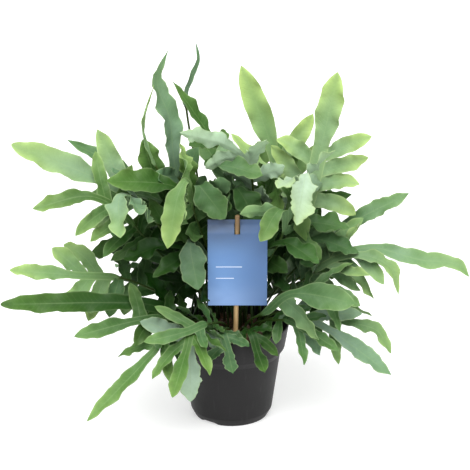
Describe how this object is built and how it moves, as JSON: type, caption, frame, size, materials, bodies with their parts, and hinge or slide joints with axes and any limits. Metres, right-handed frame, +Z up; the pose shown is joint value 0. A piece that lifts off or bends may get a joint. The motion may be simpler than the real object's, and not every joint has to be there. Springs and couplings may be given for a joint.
{
  "type": "potted fern",
  "caption": "Golden polypody fern with wavy, lobed blue-green fronds, built with its black nursery pot and a plain blue label card on a bamboo stick",
  "frame": {"origin": "the middle of the pot's underside, on the surface it stands on", "axes": "+Z up, -Y towards the side with the label card, +X to the right as that side is seen"},
  "size_m": [0.4662, 0.2702, 0.3911],
  "materials": {
    "pot": "satin",
    "soil": "matte",
    "rhizome": "matte",
    "stick": "satin",
    "card": "satin",
    "leaf": "satin",
    "young_leaf": "satin"
  },
  "bodies": {
    "root": {"frond_back_high_1": "leaf", "frond_back_high_2": "leaf", "frond_back_high_3": "leaf", "frond_back_low_1": "leaf", "frond_back_low_2": "leaf", "frond_back_low_3": "leaf", "frond_behind_card": "leaf", "frond_blue_cross": "leaf", "frond_blue_hang": "leaf", "frond_bright_left": "young_leaf", "frond_broad_front": "leaf", "frond_card_drop": "leaf", "frond_card_leaf": "leaf", "frond_crown_fold": "leaf", "frond_dark_left": "leaf", "frond_flank_left_1": "leaf", "frond_flank_right_1": "leaf", "frond_fold_left": "leaf", "frond_front_right": "leaf", "frond_front_small": "leaf", "frond_heart_left": "leaf", "frond_inner_left_1": "leaf", "frond_inner_left_2": "leaf", "frond_inner_left_3": "leaf", "frond_inner_left_4": "leaf", "frond_inner_right_1": "leaf", "frond_inner_right_2": "leaf", "frond_inner_right_3": "leaf", "frond_left_broad": "leaf", "frond_left_fork": "young_leaf", "frond_left_high": "young_leaf", "frond_left_low": "leaf", "frond_left_mid": "leaf", "frond_left_near": "leaf", "frond_left_rise": "leaf", "frond_left_upper": "leaf", "frond_low_hang": "leaf", "frond_middle_1": "leaf", "frond_middle_2": "leaf", "frond_near_hang": "leaf", "frond_near_side": "leaf", "frond_pale_fold": "leaf", "frond_pale_left": "leaf", "frond_right_curl": "leaf", "frond_right_drop": "leaf", "frond_right_far": "leaf", "frond_right_low": "leaf", "frond_right_rise": "leaf", "frond_right_thumb": "leaf", "frond_right_wave": "leaf", "frond_thread": "leaf", "frond_top_left": "leaf", "frond_top_mid": "young_leaf", "frond_top_right": "young_leaf", "frond_wisp": "leaf", "label_card": "card", "label_stick": "stick", "pot": "pot", "rhizome": "rhizome", "soil": "soil"}
  },
  "joints": []
}
